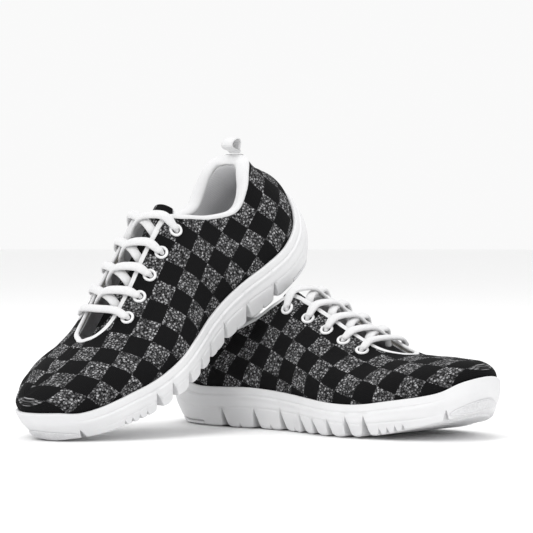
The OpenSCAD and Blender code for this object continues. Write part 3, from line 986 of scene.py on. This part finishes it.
@dataclass
class Upper:
    """Printed knit upper, mesh lining, padded collar, bindings and eyelets."""

    shoe: Shoe

    def weave_map(self, u: Array, r: Array, points: Array) -> Array:
        """Map in millimetres: round the shoe and up the column."""
        return np.stack(np.broadcast_arrays(climb(points[:, :1], 0), climb(points, 1)), -1)

    def chequer_map(self, u: Array, r: Array, points: Array) -> Array:
        """Chequer coordinates, one unit to a square.

        They are the way along the shoe and the height up the column, turned by about 18 degrees,
        so that the rows fall towards the toe.
        """
        up = climb(points, 1)
        start = np.argmin(np.abs(r[0]))
        up = up - up[:, start : start + 1] + self.shoe.last.at(u)[..., 2]
        x = points[..., 0]
        return np.stack([(0.95 * x - 0.3 * up) / CHEQUER, (0.95 * up + 0.33 * x) / CHEQUER], -1)

    def knit(self) -> Net:
        """The upper's shell, with soft swells over the stiffeners and faint wrinkles by the toes."""
        rs = np.concatenate([[-0.9, -0.5, -0.2], np.linspace(0, 0.97, 54), [0.985, 1.0]])
        us = np.linspace(0, self.shoe.last.rings, 641)[:-1]

        def depth(u: Array, r: Array) -> Array:
            """Small swells, in millimetres, taken from the depth."""
            v = np.minimum(u, self.shoe.last.rings - u)
            counter = 0.35 * ease(5.0, 4.3, v) * ease(0.66, 0.6, r) * ease(0.0, 0.1, r)
            puff = 0.35 * ease(15.6, 16.3, v) * ease(0.8, 0.72, r) * ease(0.0, 0.1, r)
            stay = 0.45 * ease(8.3, 8.8, v) * ease(12.8, 12.2, v) * ease(0.64, 0.69, r)
            wrinkle = 0.35 * np.sin(v * 4.4 + r * 9) * ease(10.5, 12, v) * ease(15, 13.5, v)
            wrinkle = wrinkle * ease(0.02, 0.15, r) * ease(0.66, 0.4, r)
            return counter + puff + stay + np.maximum(wrinkle, -0.2)

        u, r = np.meshgrid(us, rs, indexing="ij")
        swell = depth(u, r)
        return shell(self.shoe.last, us, rs, -swell, UPPER - 0.1, 0, 0, True, self.chequer_map)

    def build(self, knit: Any, mesh: Any, tape: Any, plastic: Any) -> None:
        """Adds the upper's pieces."""
        shoe, last = self.shoe, self.shoe.last
        shoe.add("upper", self.knit(), knit, "knit_upper", cad=["upper"])
        us = np.linspace(0, last.rings, 401)[:-1]
        rs = np.concatenate([[-0.95, -0.5], np.linspace(0, 0.955, 40)])
        net = shell(last, us, rs, LINING_AT, LINING_END, 1, 1, True, self.weave_map)
        shoe.add("lining", net, mesh, "lining_mesh", cad=["lining"])
        ends = COLLAR_END + 0.35
        us = np.linspace(-ends, ends, 200)
        rs = np.linspace(0.5, 0.95, 24)
        net = shell(last, us, rs, STIFFENER_AT + 1.1, LINING_AT - 0.1, 0, 1, False, self.weave_map)
        shoe.add("collar_padding", net, mesh, "padding_foam", cad=["collar_padding"])
        shoe.add("collar_rim", self.rim(), tape, "binding_tape", cad=["collar_binding"])
        shoe.add("throat_binding", self.throat(), tape, "binding_tape", cad=["throat_binding"])
        shoe.add("eyelets", self.eyelets(), plastic, "eyelet_plastic", cad=["eyelets"])

    def rim(self) -> Net:
        """The padded roll round the collar.

        Its section is an oval between the upper's outer face and the lining's inner face, so it
        is thickest round the heel and thins to a tape where the throat begins. It is flattened
        where the pull loop is sewn on, so that the loop can lean over it.
        """
        last = self.shoe.last
        u = np.linspace(-COLLAR_END - 0.3, COLLAR_END + 0.3, 260)
        row = np.full_like(u, 0.985)
        outside, inside = last.layer(u, row, -0.35), last.layer(u, row, LINING_END + 0.2, 1)
        low = last.layer(u, row - 0.05, (LINING_END - 0.3) / 2, 0.5)
        path = (outside + inside) / 2
        up = unit(path - low)
        half = np.linalg.norm(outside - inside, axis=-1) / 2
        thin = np.minimum(half * 0.75, 2.6) * (1 - 0.5 * ease(1.7, 0.8, np.abs(u)))
        return tube(path + 0.1 * up, half, thin, up, sides=28, power=2.4)

    def throat(self) -> Net:
        """One narrow tape along both edges of the throat and round its lower end."""
        last = self.shoe.last
        n, soft = 90, 6
        side = np.linspace(8.35, 12.97, n)
        u = np.concatenate([side, last.rings - side[::-1]])
        row = np.full_like(u, 0.985)
        path = last.layer(u, row, 0.55)
        bend = path[[n - soft, n - 3, n + 2, n + soft - 1]]
        path[n - soft : n + soft] = resample(bend, 2 * soft)
        up = last.normal(u, row - 0.03)
        return tube(path, 1.9, 1.15, up, sides=16, power=2.6)

    def eyelets(self) -> Net:
        """Ten rounded rings, each turned to face out of the upper."""
        a = turns(48)
        b = turns(16)
        middle_r, bead_r, bead_h, lift = 3.6, 1.0, 0.95, 0.55
        net = None
        for side in (-1, 1):
            for spot in EYELETS:
                c, n = self.shoe.last.eyelet(spot, side)
                e1 = unit(np.cross(n, [1.0, 0, 0]))
                e2 = np.cross(n, e1)
                spoke = np.cos(a)[:, None, None] * e1 + np.sin(a)[:, None, None] * e2
                ring = c + (middle_r + bead_r * np.cos(b))[None, :, None] * spoke
                ring = ring + (lift + bead_h * np.sin(b))[None, :, None] * n
                made = Net.grid(ring, ring[..., :2], round_u=True, round_v=True)
                net = made if net is None else net.joined(made)
        return net


@dataclass
class Closure:
    """Tongue, laces and the pull loop at the heel."""

    shoe: Shoe

    def tongue(self, d0: float, d1: float, cut: float, scale: float) -> Net:
        """A padded layer of the tongue.

        It follows the tongue's middle line. Across, it drops by 0.03 times the square of the
        distance from the middle, and its edges are rounded as an oval's.

        Args:
            d0: depth of its upper face.
            d1: depth of its lower face.
            cut: its width as a share of the tongue's.
            scale: size of one unit of its map in millimetres.

        Returns:
            The net.
        """
        path = resample(np.insert(TONGUE.astype(float), 1, 0, 1), 90)
        t = np.linspace(0, 1, len(path))
        half = 26 * (0.42 + 0.58 * ease(0, 0.45, t)) * (1 - 0.58 * ease(0.5, 0.75, t)) * cut
        crown = np.sqrt(np.clip(1 - np.clip((t - 0.9) / 0.1, 0, 1) ** 2 * 0.35, 0, 1))
        a = turns(56)
        v, h = powered(np.cos(a), 0.6), powered(np.sin(a), 0.55)
        w = (half * crown)[:, None] * v
        puff = 1 + 0.12 * np.sin(t * 22)[:, None] * (np.abs(v) < 0.8)
        depth = (d0 + d1) / 2 - h * (d1 - d0) / 2 * puff
        x = path[:, :1] - 0.45 * depth
        z = path[:, 2:] - 0.03 * w**2 - 0.85 * depth
        points = np.stack([x, w, z], -1)
        maps = np.stack([(0.95 * x - 0.3 * w) / scale, (0.95 * w + 0.33 * x) / scale], -1)
        return Net.grid(points, maps, round_v=True).joined(end_caps(points, maps))

    def rising(self, spot: Array, side: int, over: float) -> list[Array]:
        """A lace's way up through an eyelet and over the throat's edge at station over."""
        a, n = self.shoe.last.eyelet(spot, side)
        edge = self.shoe.last.brink(over, side)
        out = unit(edge - a)
        steps = [a + rise * n + on * out for rise, on in ((-1.2, -0.6), (1.6, 0.4), (2.7, 2.6))]
        return steps + [edge + [0, 1.2 * side, 2.9]]

    def crossing(self, k: int, side: int) -> Net:
        """One lace strand: out of an eyelet, across the tongue towards the toe and under the far edge."""
        last = self.shoe.last
        here, step = EYELETS[k][0], EYELETS[k + 1][0] - EYELETS[k][0]
        near = last.brink(here + 0.35 * step, side)
        far = last.brink(here + 0.75 * step, -side)
        lift = 5.4 if side > 0 else 2.2
        points = self.rising(EYELETS[k], side, here + 0.35 * step) + [
            (near + far) / 2 + [0, 0, lift],
            far + [0, 6 * side, 0.2],
            far + [0.5, 3.6 * side, -5.5],
        ]
        path = resample(points, 72)
        t = np.linspace(0, 1, 72)
        tilt = side * 0.75 * (1 - 2 * ease(0.1, 0.9, t))
        up = unit(np.stack([0.3 + 0 * t, tilt, 0.75 + 0 * t], -1))
        first = last.eyelet(EYELETS[k], side)[1]
        up = unit(up * ease(0, 0.3, t)[:, None] + first * (1 - ease(0, 0.3, t))[:, None])
        wide = 2.0 + 1.1 * ease(0.02, 0.22, t)
        return self.strap(path, wide, up)

    @staticmethod
    def strap(path: Array, wide: Array, up: Array) -> Net:
        """A flat lace. Where its path turns upright, its thickness turns to lie along the shoe.

        Args:
            path: points along its middle.
            wide: half its width at each point.
            up: the wished way of its thickness at each point.

        Returns:
            The net.
        """
        along = unit(np.gradient(path, axis=0))
        lean = np.abs((along * up).sum(-1, keepdims=True))
        side = np.array([1.0, 0, 0.15])
        square = unit(up * (1 - ease(0.6, 0.98, lean)) + side * ease(0.6, 0.98, lean))
        return tube(path, wide, 1.5, square, sides=24, power=2.3)

    def bar(self) -> Net:
        """The lowest strand, straight across between the two lowest eyelets."""
        spot = EYELETS[4]
        top = self.shoe.last.brink(spot[0] + 0.2, 1) * [1, 0, 1] + [0, 0, 4.4]
        points = self.rising(spot, 1, spot[0] + 0.15) + [top] + self.rising(spot, -1, spot[0] + 0.15)[::-1]
        path = resample(points, 90)
        t = np.linspace(-1, 1, 90)
        up = unit(np.stack([0.3 + 0 * t, -0.6 * t, 0.85 + 0 * t], -1))
        wide = 1.9 + 0.95 * ease(1, 0.75, np.abs(t))
        return self.strap(path, wide, up)

    def loop(self) -> Net:
        """The teardrop of webbing at the heel."""
        leg = [[0.2, 1.0], [1.3, 3.6], [3.7, 6.2], [4.2, 8.8], [2.6, 10.4]]
        rows = [[-x, z] for x, z in leg] + [[0, 10.9]] + leg[::-1]
        foot_x, foot_z, middle_z = 22.0, 85.6, 92.0
        path = resample([[foot_x + x, 0, foot_z + z] for x, z in rows], 80)
        return tube(path, 5.5, 0.6, unit(path - [foot_x, 0, middle_z]), sides=20, power=5.0)

    def build(self, knit: Any, mesh: Any, lace: Any, web: Any) -> None:
        """Adds the closure's pieces."""
        shoe = self.shoe
        top = shoe.add("tongue", self.tongue(0, 3, 1, CHEQUER), knit, "tongue_fabric", "tongue", ["tongue"])
        under = self.tongue(3.4, 5, 0.95, 1)
        low = shoe.add("tongue_lining", under, mesh, "lining_mesh", "tongue", ["tongue_lining"])
        net = self.bar()
        for k in range(4):
            for side in (-1, 1):
                net = net.joined(self.crossing(k, side))
        shoe.add("laces", net, lace, "lace_cotton", cad=["lace"])
        shoe.add("pull_loop", self.loop(), web, "webbing", "pull_loop", ["pull_loop"])


@dataclass
class Inside:
    """The insole, and finishes of the hidden CAD pieces."""

    shoe: Shoe

    def insole(self) -> Net:
        """A cushion of stacked rings over the foot board, with a rounded rim."""
        last = self.shoe.last
        u = np.linspace(0, last.rings, 361)[:-1]
        rings = np.array([[14, 1.6], [6, 1.6], [2.2, 1.6], [0.8, 1.7], [0.5, 2.6], [0.4, 3.8], [0.8, 4.8],
                          [2, 5.5], [4, 5.7], [8, 5.7], [14, 5.7]])
        inset = 6.8 + rings[:, 0]
        uu = np.broadcast_to(u[:, None], (len(u), len(rings)))
        points = last.edge(uu, inset, 0.0)
        points[..., 2] = last.bed(points[..., 0]) + rings[:, 1]
        mate = (-np.arange(len(u))) % len(u)
        low, top = inwards(points[:, 0], mate, 8)[:, :0:-1], inwards(points[:, -1], mate, 8)[:, 1:]
        every = np.concatenate([low, points, top], 1)
        return Net.grid(every, every[..., :2], round_u=True)

    def build(self, mesh: Any, fibre: Any, plastic: Any) -> None:
        """Adds the insole and paints the CAD pieces that stay."""
        shoe = self.shoe
        shoe.add("insole", self.insole(), mesh, "insole_foam", cad=["insole"])
        for part in ("board", "heel_counter", "toe_puff", "eyestays", "aglets"):
            cad = shoe.frame["nodes"][shoe.name(part)]
            cad.data.materials.clear()
            cad.data.materials.append(plastic if part == "aglets" else fibre)


@dataclass
class Studio:
    """Camera, pale floor and soft lights."""

    centre: tuple[float, float, float] = (0.005, -0.0304, 0.110)

    def build(self) -> None:
        """Adds the camera, the floor and the lights."""
        data = bpy.data.cameras.new("front_camera")
        data.lens, data.sensor_width, data.clip_end = 183.6, 36.0, 30.0
        camera = bpy.data.objects.new("front_camera", data)
        tilt = math.radians(1.515)
        x, y, z = self.centre
        camera.location = (x, y - 1.8 * math.cos(tilt), z + 1.8 * math.sin(tilt))
        camera.rotation_euler = (math.pi / 2 - tilt, 0, 0)
        bpy.context.scene.collection.objects.link(camera)
        bpy.context.scene.camera = camera
        s, r = np.meshgrid(np.linspace(-4, 4, 5), np.linspace(-4, 6, 6), indexing="ij")
        points = np.stack([s, r, 0 * s - 0.0005], -1)
        net = Net.grid(points, points[..., :2])
        floor = build_object("studio_floor", net.points, net.faces[:, ::-1], net.uv[net.corner])
        grey = (0.93, 0.93, 0.93), (0.95, 0.95, 0.95)
        tooth = (0.4, 2.0)
        paper = Mottled("studio_paper", *grey, tooth, (0.5, 0.5), tooth, 0.9, specular=0.1, strength=0.0)
        floor.data.materials.append(paper.build())
        self.light("key", (-0.9, -1.3, 1.7), 15.0, 1.0)
        self.light("fill", (1.4, -1.2, 1.0), 5.0, 1.6)
        self.light("top", (0.1, 0.5, 1.9), 9.0, 1.2)
        world = bpy.data.worlds.new("studio_air")
        world.use_nodes = True
        back = world.node_tree.nodes["Background"]
        back.inputs["Color"].default_value = (1, 1, 1, 1)
        back.inputs["Strength"].default_value = 0.95
        bpy.context.scene.world = world
        bpy.context.scene.view_settings.view_transform = "Standard"

    def light(self, name: str, place: tuple[float, float, float], power: float, size: float) -> None:
        """Adds one square soft light aimed at the pair.

        Args:
            name: its name.
            place: where it hangs, in metres.
            power: its power in watts.
            size: the length of its side in metres.
        """
        data = bpy.data.lights.new(name, "AREA")
        data.energy, data.size = power, size
        lamp = bpy.data.objects.new(name, data)
        lamp.location = place
        aim = np.array(self.centre) - np.array(place)
        lamp.rotation_euler = (
            math.atan2(math.hypot(aim[0], aim[1]), -aim[2]),
            0,
            math.atan2(-aim[0], aim[1]),
        )
        bpy.context.scene.collection.objects.link(lamp)


def main() -> None:
    """Builds both shoes and the studio."""
    logging.basicConfig(level=logging.INFO, format="%(message)s")
    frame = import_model()
    knit = PrintedKnit().build()
    foam = Mottled("moulded_foam", (0.68, 0.68, 0.69), (0.75, 0.75, 0.755), (0.03, 4.0), (0.5, 0.35),
                   (2.0, 3.0), 0.48, 0.2, 0.35).build()
    rubber = Mottled("ribbed_rubber", (0.64, 0.64, 0.65), (0.71, 0.71, 0.72), (0.8, 3.0), (0.55, 0.2),
                     (0.8, 3.0), 0.4, 0.25, 0.4, 0.06).build()
    plastic = Mottled("white_plastic", (0.72, 0.72, 0.73), (0.8, 0.8, 0.8), (0.5, 3.0), (0.5, 0.3),
                      (0.5, 3.0), 0.28, 0.2, 0.5, 0.03, 0.4).build()
    fibre = Mottled("pressed_board", (0.35, 0.33, 0.29), (0.5, 0.48, 0.43), (0.9, 5.0), (0.5, 0.2),
                    (0.9, 5.0), 0.9, depth_mm=0.08, strength=0.6).build()
    mesh = Weave("lining_mesh", (0.76, 0.76, 0.77), (0.52, 0.52, 0.53), 1.3, depth_mm=0.2).build()
    tape = Weave("binding_tape", (0.78, 0.78, 0.78), (0.6, 0.6, 0.61), 0.7, 0.5).build()
    lace = Weave("lace_cotton", (0.82, 0.82, 0.82), (0.55, 0.55, 0.56), 0.95, 0.9, 0.18).build()
    web = Weave("webbing", (0.8, 0.8, 0.8), (0.55, 0.55, 0.56), 0.9, 0.0, 0.18).build()
    last = Last()
    for side in Side:
        shoe = Shoe(side, last, frame)
        Sole(shoe).build(foam, rubber)
        Upper(shoe).build(knit, mesh, tape, plastic)
        Closure(shoe).build(knit, mesh, lace, web)
        Inside(shoe).build(mesh, fibre, plastic)
    Studio().build()
    bpy.context.view_layer.update()


if __name__ == "__main__":
    main()
